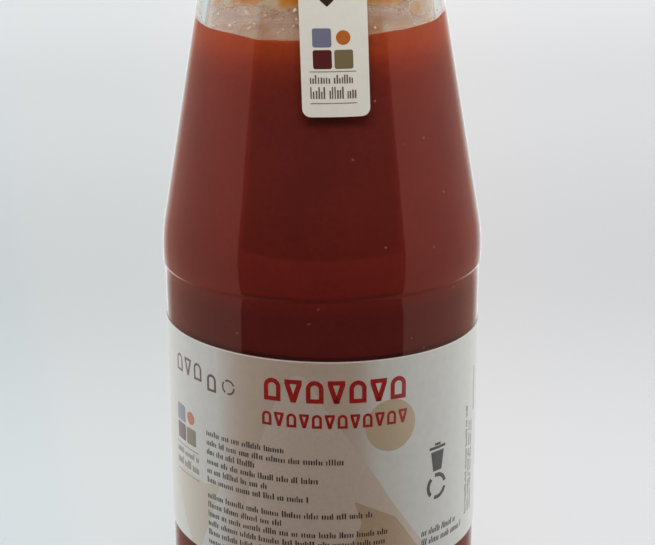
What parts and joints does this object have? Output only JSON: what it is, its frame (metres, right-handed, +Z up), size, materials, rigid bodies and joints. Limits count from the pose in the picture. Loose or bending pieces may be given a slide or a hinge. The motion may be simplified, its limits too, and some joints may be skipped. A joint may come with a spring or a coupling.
{
  "type": "passata bottle",
  "caption": "Clear glass bottle with a long conical shoulder, filled with passata, with a metal twist-off cap, a wrap label and a paper seal strip.",
  "frame": {"origin": "centre of the base, on the table", "axes": "+Z up along the bottle's axis, -Y towards the front, where the seal strip hangs and the label's title is"},
  "size_m": [0.078, 0.078, 0.2271],
  "materials": {
    "clear_glass": "clear soda-lime glass, blown, smooth",
    "passata": "sieved tomato, wet against the glass",
    "cap_metal": "tinplate under gold lacquer, satin",
    "label_paper": "coated off-white label paper, printed",
    "strip_paper": "uncoated off-white paper, printed"
  },
  "bodies": {
    "root": {"bottle_glass": "clear_glass", "passata": "passata", "twist_cap": "cap_metal", "wrap_label": "label_paper", "seal_strip": "strip_paper"}
  },
  "joints": []
}
